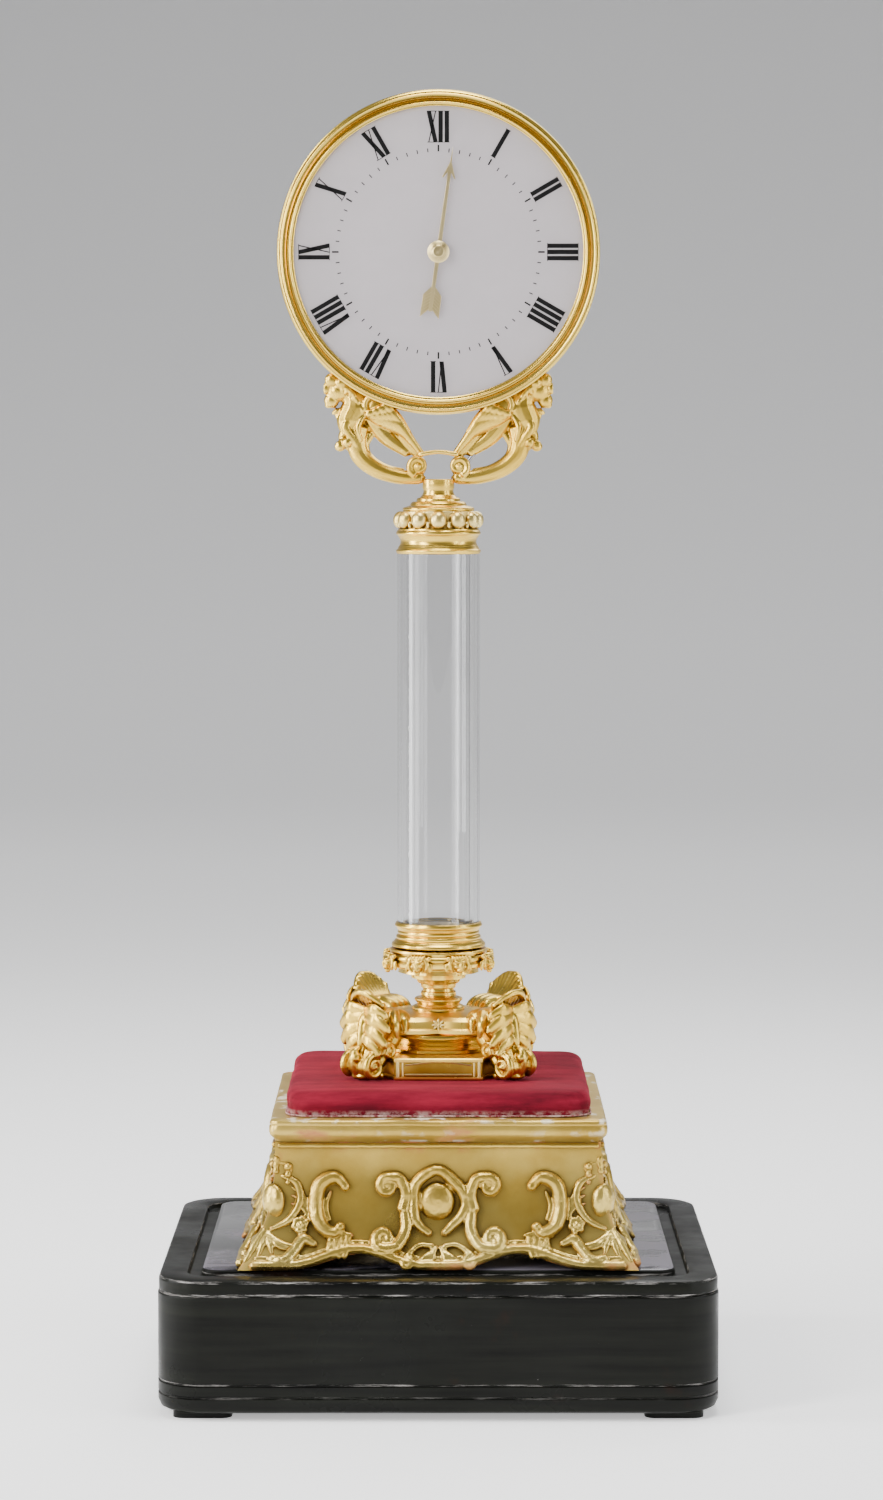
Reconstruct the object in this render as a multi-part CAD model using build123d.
from build123d import *
import os
from math import acos, asin, atan2, cos, degrees, pi, radians, sin, sqrt, tan

os.makedirs("parts", exist_ok=True)

# A mid-19th-century French mystery clock: a glass dial on a glass column. Millimetres, +Z up, the
# origin on the floor under the column's axis, the dial facing -Y.

# ---- driving dimensions ---------------------------------------------------------------------
plinth_w, plinth_d = 247.0, 210.0
plinth_corner = 20.0
plinth_foot_h = 3.0
plinth_wall = 14.0
plinth_frame_top = 55.0
plinth_rim_z = 62.0
plinth_panel_z = 63.5

gilt_bottom_z = plinth_panel_z
gilt_top_z = 118.0
rim_top_z = 128.0
rim_half = 75.0
board_half = 66.0
board_bottom_z = 121.0
gilt_wall = 7.0

pad_half, pad_top_z, pad_corner = 68.5, 140.0, 13.0

case_half, case_top_z = 37.0, 150.0
drum_r, drum_top_z = 26.0, 158.5
platform_top_z = 168.0
foot_reach, foot_half_thick = 56.0, 11.0

vase_foot_r, stem_r, bowl_r = 12.0, 8.3, 23.5
bowl_bottom_z, bowl_top_z = 180.0, 197.0
collar_r, collar_top_z = 19.5, 208.3
drive_bore = 15.4

column_r, column_bore = 18.8, 16.4
column_top_z = 376.6
tube_r, tube_bore = 14.6, 12.6
tube_bottom_z, tube_top_z = 201.0, 386.0

ring_top_z = 388.0
bead_r, bead_count, bead_top_z = 17.3, 12, 396.0
neck_r, neck_top_z = 6.8, 405.0
cap_r, cap_top_z = 7.3, 410.6
neck_bore = 5.7

dial_z = 513.0
bezel_r, bezel_sight_r, bezel_half_d = 73.2, 65.6, 9.0
channel_r, channel_half_d = 72.4, 2.7
dial_glass_r, dial_glass_front, dial_glass_back = 67.0, -7.0, -5.2
disc_r, disc_half_t = 65.8, 1.0

apex_z = 402.0
wheel_teeth, wheel_pitch_r = 144, 68.2
wheel_tip_r, wheel_root_r = 68.7, 67.4
worm_offset = 1.7
worm_core_r, worm_tip_r, worm_turns, worm_thread_t = 1.1, 2.1, 3, 0.7
bevel_teeth, bevel_r = 14, 4.0
# The turns, in degrees, that set the worm's thread and the bevel's teeth in mesh at rest.
worm_phase, bevel_phase = 335.0, 15.5
worm_axis_r = wheel_pitch_r + worm_offset
worm_lead = 2 * pi * wheel_pitch_r / wheel_teeth
# The shaft leans from the neck so that it touches the toothed ring's pitch circle.
shaft_lean = degrees(asin(worm_axis_r / (dial_z - apex_z)))
shaft_reach = sqrt((dial_z - apex_z) ** 2 - worm_axis_r**2)
on_shaft = Pos(0, 0, apex_z) * Rot(0, shaft_lean, 0)
shaft_r, shaft_passage_r, shaft_bush_r = 1.0, 1.5, 1.05

hand_angle = -8.0

plate_x, plate_y, plate_w, plate_d, plate_t = -3.0, -9.0, 98.0, 86.0, 2.0
lower_plate_z, upper_plate_z = 84.0, 112.0
arbor_r, pivot_r, pivot_hole_r = 1.1, 0.8, 0.85
arbor_low_z, arbor_high_z = 86.6, 111.4
pinion_teeth = 14
great_teeth, great_m = 112, 0.45
centre_teeth, centre_m = 84, 0.40
second_teeth, second_m = 84, 0.35
drive_teeth, drive_m = 98, 0.30
third_teeth, third_m = 84, 0.30
escape_teeth, escape_r = 15, 5.0
pallet_clear = 0.5
post_pin_r, post_pin_h = 2.0, 5.0
bezel_screw_angles, bezel_screw_ring = (-20, 30, 90, 150, 200, 245), 70.6

screw_r, screw_hole_r, screw_head_r, screw_head_h = 0.9, 0.95, 1.7, 1.0


# ---- helpers --------------------------------------------------------------------------------
def save(name, *solids):
    """Writes one node's solids."""
    flat = [s for shape in solids for s in shape.solids()]
    shape = flat[0] if len(flat) == 1 else Compound(children=flat)
    export_step(shape, f"parts/{name}.step")


def cyl(r, z0, z1, x=0.0, y=0.0):
    """An upright cylinder from z0 to z1."""
    return Pos(x, y, (z0 + z1) / 2) * Cylinder(r, z1 - z0)


def pipe(ro, ri, z0, z1, x=0.0, y=0.0):
    """An upright tube."""
    return cyl(ro, z0, z1, x, y) - cyl(ri, z0 - 1, z1 + 1, x, y)


def block(x0, x1, y0, y1, z0, z1):
    """A box between two corners."""
    return Pos((x0 + x1) / 2, (y0 + y1) / 2, (z0 + z1) / 2) * Box(x1 - x0, y1 - y0, z1 - z0)


def slab(w, d, corner, z0, z1, x=0.0, y=0.0):
    """A plate with rounded corners."""
    return Pos(x, y, z0) * extrude(RectangleRounded(w, d, corner), z1 - z0)


def turned(points):
    """A solid of revolution about Z from (radius, height) points."""
    return revolve(make_face(Plane.XZ * Polyline(*points, close=True)), Axis.Z)


def dial_turned(points):
    """A solid of revolution about the dial's axis from (radius, y) points."""
    outline = make_face(Plane.XZ * Polyline(*points, close=True))
    return Pos(0, 0, dial_z) * (Rot(90, 0, 0) * revolve(outline, Axis.Z))


def dial_ring(ro, ri, y0, y1):
    """A flat ring about the dial's axis. The front is at the lower y."""
    inner = max(ri, 0.0)
    return dial_turned([(inner, -y1), (ro, -y1), (ro, -y0), (inner, -y0)])


def involute_outline(teeth, module, turn_deg, slack=0.22):
    """A spur gear's outline: short involute teeth, cut thin so that the mesh has backlash."""
    pitch, alpha = teeth * module / 2, radians(20)
    base, tip, root = pitch * cos(alpha), pitch + 0.85 * module, pitch - 1.1 * module
    start = max(base, root)
    half = pi / 2 / teeth * (1 - slack)
    inv_pitch = tan(alpha) - alpha
    flank = []
    for i in range(4):
        r = start + (tip - start) * i / 3
        a = acos(min(1.0, base / r))
        flank.append((r, half + inv_pitch - (tan(a) - a)))
    points = []
    for k in range(teeth):
        mid = radians(turn_deg) + 2 * pi * k / teeth
        if root < start:
            points.append((root, mid - flank[0][1]))
        points += [(r, mid - a) for r, a in flank]
        points += [(r, mid + a) for r, a in reversed(flank)]
        if root < start:
            points.append((root, mid + flank[0][1]))
    return [(r * cos(a), r * sin(a)) for r, a in points]


def spur(teeth, module, z0, z1, at=(0, 0), turn_deg=0.0):
    """A spur gear blank with teeth, not bored."""
    face = make_face(Polyline(*involute_outline(teeth, module, turn_deg), close=True))
    return Pos(at[0], at[1], z0) * extrude(face, z1 - z0)


def crossed(wheel, at, rim_r, hub_r, z0, z1, spokes=4):
    """Cuts the windows that leave a wheel its rim, hub and crossings."""
    ring = pipe(rim_r, hub_r, z0 - 1, z1 + 1, *at)
    arm = 0.12 * rim_r + 0.6
    for k in range(spokes // 2):
        bar = Rot(0, 0, 180 * k / (spokes // 2)) * block(-rim_r, rim_r, -arm, arm, z0 - 2, z1 + 2)
        ring -= Pos(at[0], at[1], 0) * bar
    return wheel - ring


def polar(at, dist, deg):
    """The point at a distance and direction from another."""
    return (at[0] + dist * cos(radians(deg)), at[1] + dist * sin(radians(deg)))


def direction(a, b):
    """The direction from a to b, in degrees."""
    return degrees(atan2(b[1] - a[1], b[0] - a[0]))


def mesh_gap(teeth, deg):
    """The turn that puts a tooth gap, not a tooth, in this direction."""
    return deg + 180 / teeth


def arbor(at, z0, z1, r=arbor_r):
    """A plain arbor with a pivot at each end, in the two plates."""
    body = cyl(r, z0, z1, *at)
    return body + cyl(pivot_r, lower_plate_z, z0, *at) + cyl(pivot_r, z1, upper_plate_z + plate_t, *at)


def screw(length):
    """A cheese-head screw, head down, its head's underside at z = 0 and its shank up."""
    head = cyl(screw_head_r, -screw_head_h, 0) - block(-3, 3, -0.2, 0.2, -2, -0.6)
    return head + cyl(screw_r, 0, length)


# ---- ebonised plinth ------------------------------------------------------------------------
def make_plinth():
    frame = slab(plinth_w, plinth_d, plinth_corner, plinth_foot_h, plinth_frame_top)
    hollow_w, hollow_d = plinth_w - 2 * plinth_wall, plinth_d - 2 * plinth_wall
    frame -= slab(hollow_w, hollow_d, 8, plinth_foot_h - 1, plinth_frame_top + 1)
    groove_d = 0.6
    for z in (10.0, 15.5):
        outer = slab(plinth_w + 2, plinth_d + 2, plinth_corner + 1, z, z + 0.8)
        inner = slab(plinth_w - 2 * groove_d, plinth_d - 2 * groove_d, plinth_corner - groove_d, z, z + 0.8)
        frame -= outer - inner
    save("plinth_frame", frame)
    top = slab(plinth_w, plinth_d, plinth_corner, plinth_frame_top, plinth_rim_z)
    lip_low, lip_high = plinth_frame_top, plinth_frame_top + 0.8
    top -= slab(plinth_w + 2, plinth_d + 2, plinth_corner + 1, lip_low, lip_high) - slab(
        plinth_w - 1.4, plinth_d - 1.4, plinth_corner - 0.7, lip_low, lip_high
    )
    rim, groove = 13.0, 6.0
    top -= slab(plinth_w - 2 * rim, plinth_d - 2 * rim, plinth_corner - 6, plinth_rim_z - 2.5,
                plinth_rim_z + 1)
    in_w, in_d = plinth_w - 2 * (rim + groove), plinth_d - 2 * (rim + groove)
    top += slab(in_w, in_d, 9, plinth_rim_z - 3, plinth_panel_z)
    save("plinth_top", top)
    pads = []
    for sx in (-1, 1):
        for sy in (-1, 1):
            x0, y0 = sx * (plinth_w / 2 - 20), sy * (plinth_d / 2 - 18)
            pads.append(slab(26, 22, 5, 0, plinth_foot_h, x0, y0))
    save("plinth_feet", *pads)


# ---- giltwood stand -------------------------------------------------------------------------
def flared(offset):
    """The stand's flaring block: one concave profile run along X and Y and mitred at the corners."""
    heights = [(gilt_bottom_z, 88.0), (70.0, 83.5), (78.0, 78.5), (90.0, 74.5), (104.0, 72.5),
               (gilt_top_z, 72.0)]
    right = [(w - offset, z) for z, w in heights]
    left = [(-x, z) for x, z in reversed(right)]
    face = make_face(Plane.XZ * Polyline(*right, *left, close=True))
    along_y = Pos(0, 120, 0) * extrude(face, 240)
    return along_y & (Rot(0, 0, 90) * along_y)


def apron_cut():
    """The two shallow arches cut under each side, between the corner and centre lobes."""
    cutter = None
    for sx in (-1, 1):
        with_x = sx * 36.0
        start, end = (with_x - 30, 63.0), (with_x + 30, 63.0)
        curve = Spline(start, (with_x - 18, 66.6), (with_x, 70.0), (with_x + 18, 66.6), end)
        face = make_face(Plane.XZ * (curve + Line(end, start)))
        arch = Pos(0, 120, 0) * extrude(face, 240)
        cutter = arch if cutter is None else cutter + arch
    return cutter + Rot(0, 0, 90) * cutter


def cartouche(scale=1.0):
    """One applied ornament lying in the XY plane: a boss in a frame with two C-scrolls."""
    boss = scale * 8.0
    shape = Pos(0, 0, 0.5) * extrude(Ellipse(boss, boss * 1.15), 2.6)
    shape += extrude(Ellipse(boss + 3, boss * 1.15 + 3.5), 1.8)
    for side in (-1, 1):
        scroll = Pos(side * (boss + 8), 0, 0) * extrude(Circle(7.0) - Pos(side * 3.0, 0) * Circle(4.6), 2.4)
        link = extrude(Pos(side * (boss + 2.5), -boss * 0.7) * Rectangle(7, 3), 1.6)
        shape += scroll + link
    shape += extrude(Pos(0, -boss - 7) * Ellipse(9, 6), 1.6)
    return shape


def make_stand():
    carcass = flared(0) - flared(gilt_wall) - apron_cut()
    cavity_top = block(-64.5, 64.5, -64.5, 64.5, gilt_top_z - 10, gilt_top_z + 1)
    save("giltwood_carcass", carcass - cavity_top)
    rim = slab(2 * rim_half, 2 * rim_half, 4, gilt_top_z, rim_top_z)
    rim -= block(-board_half, board_half, -board_half, board_half, gilt_top_z - 1, rim_top_z + 1)
    cove = slab(2 * rim_half + 4, 2 * rim_half + 4, 5, gilt_top_z - 1, gilt_top_z + 2.5)
    cove -= slab(2 * rim_half - 3, 2 * rim_half - 3, 3, gilt_top_z - 1, gilt_top_z + 2.5)
    save("giltwood_rim", rim - cove)
    board = block(-board_half, board_half, -board_half, board_half, board_bottom_z, rim_top_z)
    board -= cyl(4.0, board_bottom_z - 1, rim_top_z + 1)
    for x, y in post_places:
        board -= cyl(post_pin_r + 0.05, board_bottom_z - 1, board_bottom_z + post_pin_h, x, y)
    save("giltwood_top_board", board)
    centre_pieces = []
    corner_pieces = []
    lean = 6.0
    for k in range(4):
        face_place = Rot(0, 0, 90 * k) * Pos(0, -72.9, 99) * Rot(90 - lean, 0, 0)
        centre_pieces.append(face_place * cartouche(1.0))
        corner_place = Rot(0, 0, 90 * k + 45) * Pos(0, -103.3, 93) * Rot(90 - lean, 0, 0)
        corner_pieces.append(corner_place * extrude(Ellipse(9, 15) + Pos(0, -14) * Ellipse(12, 9), 4))
    stand_body = flared(0)
    save("side_cartouches", *[p - stand_body for p in centre_pieces])
    save("corner_ornaments", *[p - stand_body for p in corner_pieces])
    pad = slab(2 * pad_half, 2 * pad_half, pad_corner, rim_top_z, pad_top_z)
    pad = chamfer(pad.faces().sort_by(Axis.Z)[-1].edges(), 2.5)
    save("velvet_pad", pad - cyl(6.0, rim_top_z - 1, pad_top_z + 1))


# ---- ormolu foot and vase -------------------------------------------------------------------
def make_ormolu_base():
    case = slab(2 * case_half, 2 * case_half, 3, pad_top_z, case_top_z)
    cut = 17.0
    for sx in (-1, 1):
        for sy in (-1, 1):
            case -= Pos(sx * case_half, sy * case_half, 145) * Box(2 * cut, 2 * cut, 20)
    case -= cyl(17.0, pad_top_z - 1, case_top_z - 2)
    case -= cyl(3.0, case_top_z - 3, case_top_z + 1)
    save("movement_case", case)
    drum = turned([(3, case_top_z), (drum_r, case_top_z), (drum_r, case_top_z + 1.2),
                   (drum_r - 1.5, case_top_z + 2.2),
                   (drum_r - 1.5, drum_top_z - 1.4), (drum_r, drum_top_z), (3, drum_top_z)])
    corner_clear = [Rot(0, 0, 45 + 90 * k) * block(18, 30, -12, 12, 140, 170) for k in range(4)]
    for c in corner_clear:
        drum -= c
    save("case_drum", drum)
    plate = extrude(Plane.XY.offset(drum_top_z) * Rectangle(56, 56), platform_top_z - drum_top_z)
    for k in range(4):
        plate -= Rot(0, 0, 90 * k) * (Pos(0, -52, 163) * Cylinder(26, 20))
        plate -= Rot(0, 0, 45 + 90 * k) * block(20.6, 50, -30, 30, 150, 170)
    plate -= cyl(3.0, drum_top_z - 1, platform_top_z + 1)
    save("foot_platform", plate)
    outline = Spline((44, 140), (40, 146), (33, 153), (26, 158), (22.5, 163), (22, 168.5), (29, 170),
                     (37, 172.5), (43, 178), (49, 181), (53, 177), (50.5, 169), (50, 161), (54, 154.5),
                     (foot_reach, 149), (54, 143.5), (50, 140))
    profile = make_face(Plane.XZ * (outline + Line((50, 140), (44, 140))))
    foot = Pos(0, foot_half_thick, 0) * extrude(profile, 2 * foot_half_thick)
    names = {45: "back_right", 135: "back_left", 225: "front_left", 315: "front_right"}
    blockers = case + drum + plate
    for turn, name in names.items():
        placed = Rot(0, 0, turn) * foot
        save(f"scroll_foot_{name}", (placed - blockers).solids().sort_by(SortBy.VOLUME)[-1])


def make_vase():
    bore = 3.0
    stem = turned([(bore, 168), (vase_foot_r, 168), (vase_foot_r, 170.6), (10.0, 171.6), (stem_r, 174.8),
                   (stem_r + 0.3, 177), (10.8, bowl_bottom_z), (bore, bowl_bottom_z)])
    save("vase_stem", stem)
    bowl = turned([(bore, 180), (10.8, 180), (18, 182.2), (22.6, 186), (bowl_r, 190), (22.4, 194.5),
                   (21.0, bowl_top_z),
                   (bore, bowl_top_z)])
    bowl -= cyl(6.0, 190, 198)
    save("vase_bowl", bowl)
    masks = []
    for k in range(8):
        big = k % 2 == 0
        size = 4.6 if big else 3.6
        mask = Pos(0, -bowl_r - 0.4, 190.5) * Sphere(size)
        masks.append(Rot(0, 0, 45 * k) * (mask - bowl))
    save("vase_masks", *[m.solids().sort_by(SortBy.VOLUME)[-1] for m in masks])
    collar = turned([(drive_bore, bowl_top_z), (21.3, bowl_top_z), (21.6, 198.2), (21.0, 199),
                     (18.6, 200.4), (18.3, 202.5), (19.0, 204.8), (collar_r, 205.6),
                     (collar_r, collar_top_z), (drive_bore, collar_top_z)])
    save("vase_collar", collar)


# ---- glass column and the drive inside it ---------------------------------------------------
def bevel_gear():
    """A flat bevel gear with its apex at the origin and its axis down -Z. Returns the gear."""
    cone = (180 - shaft_lean) / 2
    depth = bevel_r / tan(radians(cone))
    blank = turned([(0.9, -depth - 1.9), (bevel_r + 0.6, -depth - 1.9), (bevel_r + 0.6, -depth - 0.75),
                    (0.9, -0.35 - 0.75)])
    flank = Polyline((bevel_r - 1.7, -1.9), (bevel_r - 1.7, -depth * 0.62 - 0.1),
                     (bevel_r + 0.5, -depth * 1.1 + 0.1), (bevel_r + 0.5, -depth - 1.4), close=True)
    tooth = Pos(0, 0.25, 0) * extrude(make_face(Plane.XZ * flank), 0.5)
    gear = blank
    for k in range(bevel_teeth):
        gear += Rot(0, 0, 360 * k / bevel_teeth) * tooth
    return gear


def make_column():
    save("column_glass", pipe(column_r, column_bore, collar_top_z, column_top_z))
    save("drive_tube", pipe(tube_r, tube_bore, tube_bottom_z, tube_top_z))
    foot = cyl(tube_bore, tube_bottom_z, 207) + cyl(tube_r, 199, tube_bottom_z) + cyl(4.0, 192, 199)
    foot -= cyl(1.5, 191, 208)
    save("drive_tube_foot", foot)
    top = cyl(tube_bore, 379.5, tube_top_z) + cyl(tube_r, tube_top_z, 388.5) + cyl(1.5, 388.5, apex_z - 2.6)
    top -= cyl(9.0, 379, 385)
    gear = Pos(0, 0, apex_z) * bevel_gear()
    save("drive_tube_cap", top + gear + cyl(1.5, apex_z - 3.6, apex_z - 2.2))
    pinion = spur(pinion_teeth, second_m, 107.2, 110.2, drive_at, direction(drive_at, second_at))
    stem = cyl(1.5, 87.0, 199.5) + cyl(pivot_r, lower_plate_z, 87.0)
    save("drive_arbor", stem + pinion)
    wheel_turn = mesh_gap(drive_teeth, direction(drive_at, third_at))
    wheel = spur(drive_teeth, drive_m, 105.0, 106.0, drive_at, wheel_turn)
    wheel = crossed(wheel, drive_at, 12.6, 4.0, 105, 106)
    save("drive_wheel", wheel + cyl(3.0, 103.6, 105) - cyl(1.5, 100, 110))


def make_capital():
    ring = turned([(drive_bore, column_top_z), (19.3, column_top_z), (19.3, 379.6), (18.4, 380.6),
                   (18.0, 383),
                   (18.4, 385.2), (19.2, 386), (19.4, 387), (18.6, ring_top_z), (drive_bore, ring_top_z)])
    save("capital_ring", ring)
    beads = pipe(16.4, drive_bore, ring_top_z, bead_top_z)
    for k in range(bead_count):
        lobe = Pos(0, -bead_r, (ring_top_z + bead_top_z) / 2) * Cylinder(3.4, bead_top_z - ring_top_z)
        beads += Rot(0, 0, 360 * k / bead_count) * (lobe - cyl(drive_bore, ring_top_z - 1, bead_top_z + 1))
    save("capital_beads", beads)
    neck = turned([(neck_bore, 396), (16.2, 396), (16.4, 397.2), (14.2, 397.9), (9.5, 399.6),
                   (7.3, 400.8), (neck_r, 403), (neck_r, neck_top_z), (cap_r, neck_top_z),
                   (cap_r, 407.4), (neck_r, 408), (neck_r, cap_top_z),
                   (0, cap_top_z), (0, cap_top_z - 1.2), (neck_bore, cap_top_z - 1.2)])
    save("capital_neck", neck - shaft_bore(shaft_passage_r))


# ---- inclined shaft and worm ----------------------------------------------------------------
def shaft_bore(r):
    """The straight passage for the shaft, from the gears to the worm."""
    return on_shaft * cyl(r, 2.0, shaft_reach + 20)


def make_shaft():
    gear = Rot(0, 0, 180 / bevel_teeth + bevel_phase) * (Rot(180, 0, 0) * bevel_gear())
    shaft = cyl(shaft_r, 1.6, shaft_reach + 9)
    save("inclined_shaft", on_shaft * (gear + shaft))
    length = worm_turns * worm_lead
    low = shaft_reach - length / 2
    body = pipe(worm_core_r, shaft_r, low - 1.5, low + length + 1.5)
    steps = 16
    climb = degrees(atan2(worm_lead, 2 * pi * worm_tip_r))
    link = Pos((worm_core_r - 0.2 + worm_tip_r) / 2 + 0.1, 0, 0) * (
        Rot(climb, 0, 0) * Box(worm_tip_r - worm_core_r + 0.1, 0.98, worm_thread_t)
    )
    links = []
    for k in range(int(worm_turns * steps)):
        place = Rot(0, 0, worm_phase + 360 * k / steps) * Pos(0, 0, low + k * worm_lead / steps)
        links.append(place * link)
    body = body.fuse(*links)
    save("worm", on_shaft * body)
    bushes = [pipe(3.0, 1.55, 176, 182), pipe(neck_bore, 1.55, 396.0, 397.8)]
    bushes += [on_shaft * pipe(shaft_passage_r, shaft_bush_r, z, z + 3) for z in (14.0, shaft_reach - 22)]
    save("shaft_bushes", *bushes)


# ---- chimeras -------------------------------------------------------------------------------
def chimera_solid():
    """The right-hand chimera as a thick plate: wing, body, head, foreleg and curled tail."""
    outline = Spline((6.9, 408.4), (17, 408.6), (27, 411.5), (34.5, 418), (38, 424.5), (44, 424.2),
                     (45.5, 429), (41, 433), (42.5, 438.5), (49, 440.5), (52, 447), (49, 453),
                     (45, 457.5), (39, 455), (34, 450.5), (29, 447.6), (23.5, 445.8), (20, 440),
                     (17, 431), (9.5, 422.5), (5.2, 419), (4.4, 413.5), (6.9, 408.4))
    body = Pos(0, 7, 0) * extrude(make_face(Plane.XZ * outline), 14)
    window = Plane.XZ * (Pos(24.5, 418) * (Rot(0, 0, 28) * Ellipse(7.2, 3.9)))
    body -= Pos(0, 10, 0) * extrude(window, 20)
    return body


def make_chimeras():
    clear = dial_ring(bezel_r + 0.15, 0, -30, 30) + cyl(cap_r + 0.05, 380, cap_top_z + 0.05)
    right = chimera_solid() - clear - shaft_bore(shaft_passage_r)
    save("chimera_right", right.solids().sort_by(SortBy.VOLUME)[-1])
    left = (chimera_solid() - clear).solids().sort_by(SortBy.VOLUME)[-1].mirror(Plane.YZ)
    bar = Pos(0, 0, 420.3) * (Rot(0, 90, 0) * Cylinder(1.2, 14.0))
    left = left + (bar - right)
    save("chimera_left", left.solids().sort_by(SortBy.VOLUME)[-1])


# ---- dial -----------------------------------------------------------------------------------
def bezel_screw_place(deg):
    """The frame of one bezel screw: its z axis points to the front, at its head's underside."""
    x = bezel_screw_ring * cos(radians(deg))
    z = dial_z + bezel_screw_ring * sin(radians(deg))
    return Pos(x, bezel_half_d - screw_head_h, z) * Rot(90, 0, 0)


def make_dial():
    front = dial_turned([(bezel_sight_r, bezel_half_d), (66.6, 8.6), (67.6, 7.9), (68.4, 8.0),
                         (69.4, 8.9), (71.2, 8.6), (72.6, 7.2), (bezel_r, 5.2), (bezel_r, 0),
                         (channel_r, 0), (channel_r, channel_half_d), (67.1, channel_half_d),
                         (67.1, -dial_glass_front), (bezel_sight_r, -dial_glass_front)])
    back = dial_turned([(bezel_sight_r, -channel_half_d), (channel_r, -channel_half_d),
                        (channel_r, 0), (bezel_r, 0),
                        (bezel_r, -5.2), (72.4, -7.4), (70.8, -9.0), (bezel_sight_r, -9.0)])
    screws = []
    for deg in bezel_screw_angles:
        place = bezel_screw_place(deg)
        back -= place * (cyl(screw_hole_r, -1, 20) + cyl(screw_head_r + 0.05, -4, 0))
        front -= place * cyl(screw_hole_r, 0, 12.1)
        screws.append(place * screw(12.0))
    passage = shaft_bore(shaft_passage_r)
    save("bezel_front", front - passage)
    save("bezel_back", back - passage)
    glass = dial_ring(dial_glass_r, 3.0, dial_glass_front, dial_glass_back)
    save("dial_glass", glass)
    bush = dial_ring(4.2, 1.1, -7.5, dial_glass_front) + dial_ring(3.0, 1.1, dial_glass_front, -4.8)
    save("dial_bush", bush)
    save("hand_disc", dial_ring(disc_r, 1.5, -disc_half_t, disc_half_t))
    points = []
    tip_share, root_share = 0.16, 0.26
    for k in range(wheel_teeth):
        mid = 2 * pi * k / wheel_teeth
        step = 2 * pi / wheel_teeth
        for r, a in ((wheel_root_r, -root_share), (wheel_tip_r, -tip_share), (wheel_tip_r, tip_share),
                     (wheel_root_r, root_share)):
            points.append((r * cos(mid + a * step), r * sin(mid + a * step)))
    face = make_face(Plane.XZ * Polyline(*points, close=True))
    toothed = Pos(0, 0.7, dial_z) * extrude(face, 1.4)
    save("disc_ring", toothed - dial_ring(disc_r, 0, -5, 5))
    hub = dial_ring(1.5, 0, -1.0, 1.0) + dial_ring(4.0, 0, -2.4, -1.0) + dial_ring(1.0, 0, -9.5, -2.4)
    hub += dial_ring(3.6, 0, 1.0, 2.2)
    save("hand_arbor", hub)
    save("arrow_hand", make_hand())
    ball = Pos(0, -9.2, dial_z) * (Sphere(5.2) & (Box(20, 5.0, 20)))
    save("hand_boss", ball - dial_ring(1.0, 0, -9.5, 0) - hand_slot())
    return screws


def hand_outline():
    shaft = Pos(0, 8.5) * Rectangle(1.7, 64)
    head = make_face(Polyline((0, 48), (3.4, 36), (0, 39.5), (-3.4, 36), close=True))
    feather = [(0, -14), (4.4, -19.5), (4.4, -30), (0, -26.5), (-4.4, -30), (-4.4, -19.5)]
    tail = make_face(Polyline(*feather, close=True))
    return shaft + head + tail + Circle(3.6)


def make_hand():
    flat = extrude(hand_outline() - Circle(1.0), 0.8)
    return Pos(0, -7.8, dial_z) * (Rot(0, -hand_angle, 0) * (Rot(90, 0, 0) * flat))


def hand_slot():
    """The room that the boss leaves for the hand under it."""
    return dial_ring(6.0, 0, -8.6, 0)


# ---- movement -------------------------------------------------------------------------------
drive_at = (0.0, 0.0)
second_at = polar(drive_at, (second_teeth + pinion_teeth) * second_m / 2, 135)
centre_at = polar(second_at, (centre_teeth + pinion_teeth) * centre_m / 2, 200)
barrel_at = polar(centre_at, (great_teeth + pinion_teeth) * great_m / 2, -75)
third_at = polar(drive_at, (drive_teeth + pinion_teeth) * drive_m / 2, 20)
escape_at = polar(third_at, (third_teeth + pinion_teeth) * third_m / 2, -40)
lever_at = polar(escape_at, 8.4, -60)
balance_at = polar(lever_at, 7.6, -78)
click_at = polar(barrel_at, 13.0, 60)
pillar_places = [(-46, 28), (40, 28), (40, -46), (-46, -46)]
post_places = [(-40, 20), (36, 22), (34, -40), (-40, -46)]


def two_wheels(at, wheel, wheel_to, pinion, pinion_to, z_ends, hub=2.4):
    """An arbor with a crossed wheel and a leaf pinion. wheel and pinion are (teeth, module, z0, z1)."""
    w = spur(*wheel, at, mesh_gap(wheel[0], direction(at, wheel_to)))
    rim = wheel[0] * wheel[1] / 2 - 1.1 * wheel[1] - 1.4
    w = crossed(w, at, rim, hub, wheel[2], wheel[3])
    p = spur(*pinion, at, direction(at, pinion_to))
    return w + p + arbor(at, *z_ends)


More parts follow.
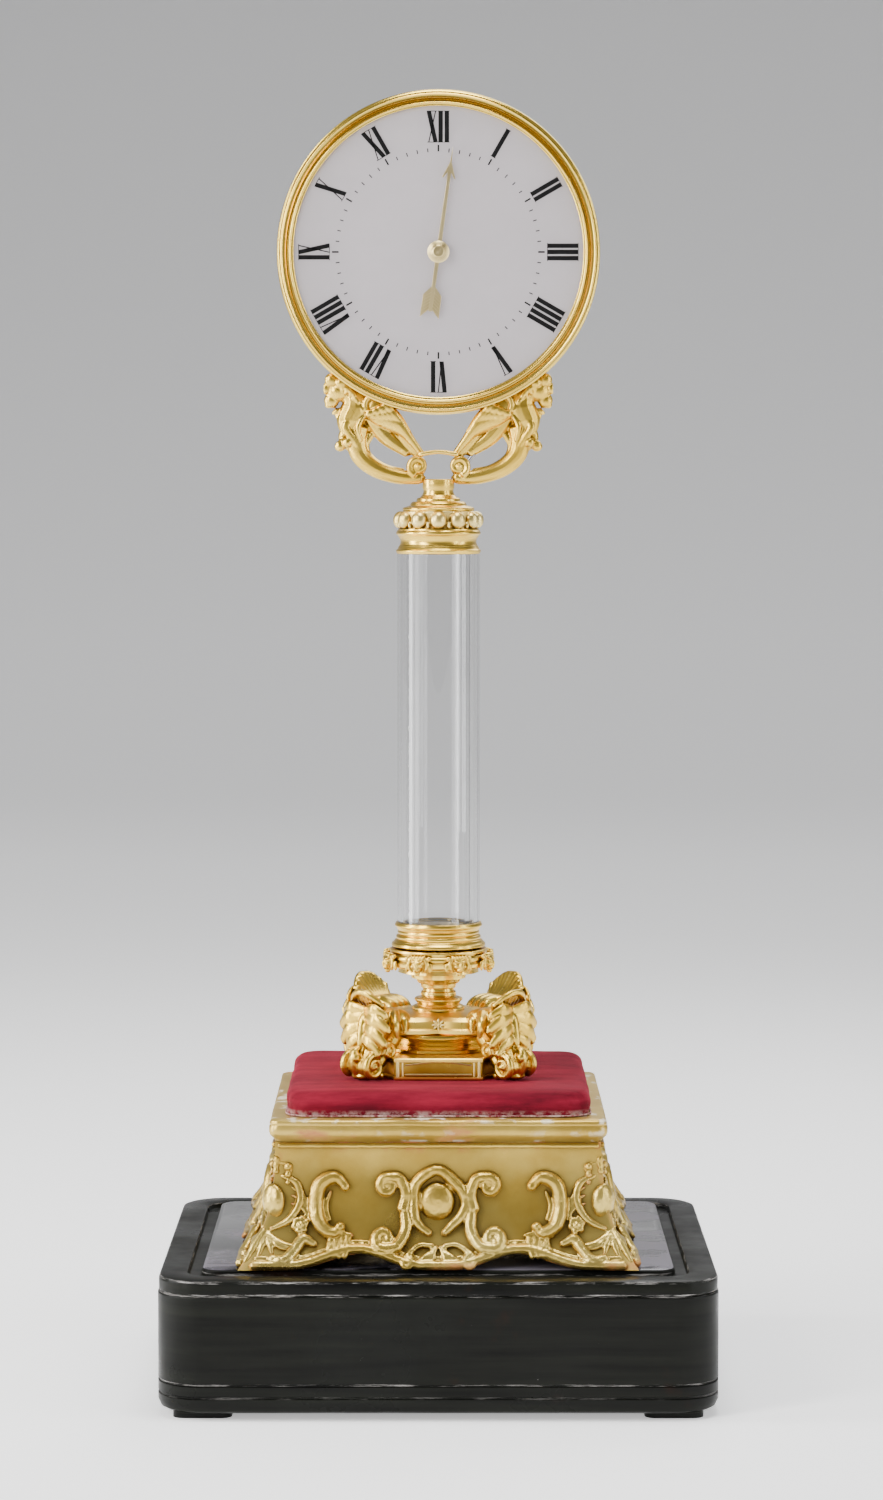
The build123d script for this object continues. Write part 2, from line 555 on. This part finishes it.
def make_movement():
    barrel_r, drum_low, drum_high = 22.0, 89.1, 101.0
    plate = slab(plate_w, plate_d, 6, 0, plate_t, plate_x, plate_y)
    upper, lower = Pos(0, 0, upper_plate_z) * plate, Pos(0, 0, lower_plate_z) * plate
    pivots = (second_at, centre_at, third_at, escape_at, lever_at, balance_at)
    for x, y in pivots:
        upper -= cyl(pivot_hole_r, upper_plate_z - 1, upper_plate_z + 3, x, y)
        lower -= cyl(pivot_hole_r, lower_plate_z - 1, lower_plate_z + 3, x, y)
    upper -= cyl(1.55, upper_plate_z - 1, upper_plate_z + 3)
    lower -= cyl(pivot_hole_r, lower_plate_z - 1, lower_plate_z + 3)
    upper -= cyl(2.05, upper_plate_z - 1, upper_plate_z + 3, *barrel_at)
    lower -= cyl(3.05, lower_plate_z - 1, lower_plate_z + 3, *barrel_at)
    lower -= cyl(screw_r, lower_plate_z - 1, lower_plate_z + 3, *click_at)
    pillars, screws = [], []
    for x, y in pillar_places:
        upper -= cyl(1.5, upper_plate_z - 1, upper_plate_z + 3, x, y)
        lower -= cyl(screw_hole_r, lower_plate_z - 1, lower_plate_z + 3, x, y)
        pillar = cyl(3.0, lower_plate_z + plate_t, upper_plate_z, x, y)
        pillar += cyl(1.5, upper_plate_z, upper_plate_z + plate_t, x, y)
        pillars.append(pillar - cyl(screw_hole_r, lower_plate_z, lower_plate_z + 12.1, x, y))
        screws.append(Pos(x, y, lower_plate_z) * screw(12.0))
    save("upper_plate", upper)
    save("lower_plate", lower)
    save("plate_pillars", *pillars)
    posts = []
    for x, y in post_places:
        post = cyl(4.0, upper_plate_z + plate_t, board_bottom_z, x, y)
        posts.append(post + cyl(post_pin_r, board_bottom_z, board_bottom_z + post_pin_h, x, y))
    save("hanging_posts", *posts)

    great_turn = mesh_gap(great_teeth, direction(barrel_at, centre_at))
    great = spur(great_teeth, great_m, 87.5, drum_low, barrel_at, great_turn)
    drum = great + cyl(barrel_r, drum_low, drum_high, *barrel_at)
    drum -= cyl(barrel_r - 1.2, drum_low, drum_high - 1.2, *barrel_at)
    drum -= cyl(3.05, 86, 103, *barrel_at)
    save("mainspring_barrel", drum)
    turns, ribbon = 8, 0.45
    coil = []
    for side in (0, 1):
        ring = []
        for i in range(turns * 24 + 1):
            a = 2 * pi * i / 24
            r = 4.0 + side * ribbon + 1.85 * a / (2 * pi)
            ring.append((barrel_at[0] + r * cos(a), barrel_at[1] + r * sin(a)))
        coil.append(ring)
    strip = make_face(Polyline(*coil[0], *reversed(coil[1]), close=True))
    save("mainspring", Pos(0, 0, 90.0) * extrude(strip, 9.0))
    winder = cyl(3.0, 82, 104, *barrel_at) + cyl(2.0, 104, upper_plate_z + plate_t, *barrel_at)
    square = Pos(barrel_at[0], barrel_at[1], 76) * Box(4, 4, 12)
    save("winding_arbor", winder + square)
    teeth = []
    count, r_out, r_in = 20, 10.0, 8.6
    for k in range(count):
        a = 2 * pi * k / count
        teeth.append((r_out * cos(a), r_out * sin(a)))
        teeth.append((r_in * cos(a + 0.03), r_in * sin(a + 0.03)))
    ratchet = Pos(barrel_at[0], barrel_at[1], 79.5) * extrude(make_face(Polyline(*teeth, close=True)), 2.0)
    bore = Pos(barrel_at[0], barrel_at[1], 76) * Box(4, 4, 12) + cyl(3.0, 82, 104, *barrel_at)
    save("ratchet_wheel", ratchet - bore)
    nose = polar(barrel_at, 10.25, 88)
    away = direction(click_at, nose)
    reach = sqrt((nose[0] - click_at[0]) ** 2 + (nose[1] - click_at[1]) ** 2)
    finger = Pos(reach / 2, 0.9, 80.5) * Box(reach, 1.8, 2.0)
    hook = cyl(2.0, 79.5, 81.5) + finger
    click = (Pos(click_at[0], click_at[1], 0) * (Rot(0, 0, away) * hook)) - cyl(10.15, 70, 90, *barrel_at)
    click += cyl(0.8, 81.5, lower_plate_z + plate_t, *click_at)
    save("ratchet_click", click)

    centre = two_wheels(centre_at, (centre_teeth, centre_m, 102.2, 103.2), second_at,
                        (pinion_teeth, great_m, 87.0, 90.0), barrel_at, (arbor_low_z, arbor_high_z))
    save("centre_wheel", centre)
    second = two_wheels(second_at, (second_teeth, second_m, 108.2, 109.2), drive_at,
                        (pinion_teeth, centre_m, 101.6, 103.8), centre_at, (arbor_low_z, arbor_high_z))
    save("second_wheel", second)
    third = two_wheels(third_at, (third_teeth, third_m, 94.0, 94.9), escape_at,
                       (pinion_teeth, drive_m, 104.4, 106.6), drive_at, (arbor_low_z, arbor_high_z))
    save("third_wheel", third)
    wheel_points = []
    for k in range(escape_teeth):
        a = 2 * pi * k / escape_teeth
        for r, da in ((escape_r, 0.0), (escape_r, 0.045), (3.9, 0.12), (3.9, 0.36)):
            wheel_points.append((r * cos(a + da), r * sin(a + da)))
    wheel_face = make_face(Polyline(*wheel_points, close=True))
    escape = Pos(escape_at[0], escape_at[1], 98.0) * extrude(wheel_face, 0.8)
    escape = crossed(escape, escape_at, 3.3, 1.7, 98, 98.8)
    escape += spur(pinion_teeth, third_m, 93.4, 95.6, escape_at, direction(escape_at, third_at))
    escape += arbor(escape_at, arbor_low_z, arbor_high_z, 1.0)
    save("escape_wheel", escape)
    back = direction(lever_at, escape_at)
    bridge = Pos(2.6, 0, 98.4) * Box(1.4, 7.4, 0.9) + Pos(1.3, 0, 98.4) * Box(2.6, 1.6, 0.9)
    stones = Pos(3.9, 3.3, 98.4) * Box(1.6, 0.8, 0.9) + Pos(3.9, -3.3, 98.4) * Box(1.6, 0.8, 0.9)
    lever = Pos(lever_at[0], lever_at[1], 0) * (Rot(0, 0, back) * (bridge + stones))
    fork_way = direction(lever_at, balance_at)
    fork = Pos(2.6, 0, 98.4) * Box(5.2, 1.0, 0.9) + Pos(5.4, 0, 98.4) * Box(1.2, 2.6, 0.9)
    fork -= Pos(5.9, 0, 98.4) * Box(1.0, 0.9, 2)
    lever += Pos(lever_at[0], lever_at[1], 0) * (Rot(0, 0, fork_way) * fork)
    lever -= cyl(escape_r + pallet_clear, 97, 100, *escape_at)
    lever += arbor(lever_at, arbor_low_z, arbor_high_z, 0.9)
    save("pallet_lever", lever)
    rim = pipe(6.3, 5.4, 90.0, 91.4) + block(-5.6, 5.6, -0.6, 0.6, 90.2, 91.2)
    wheel = Pos(balance_at[0], balance_at[1], 0) * (rim + cyl(1.0, 90, 91.6))
    wheel += arbor(balance_at, arbor_low_z, arbor_high_z, 0.7)
    save("balance_wheel", wheel)
    hair = []
    for side in (0, 1):
        ring = []
        for i in range(7 * 20 + 1):
            a = 2 * pi * i / 20
            r = 1.2 + side * 0.14 + 0.5 * a / (2 * pi)
            ring.append((balance_at[0] + r * cos(a), balance_at[1] + r * sin(a)))
        hair.append(ring)
    spring = Pos(0, 0, 93.0) * extrude(make_face(Polyline(*hair[0], *reversed(hair[1]), close=True)), 0.5)
    collet = pipe(1.25, 0.7, 92.8, 93.7, *balance_at)
    save("hairspring", spring + collet)
    return screws


make_plinth()
make_stand()
make_ormolu_base()
make_vase()
make_column()
make_capital()
make_shaft()
make_chimeras()
fixings = make_dial() + make_movement()
save("fixing_screws", *fixings)
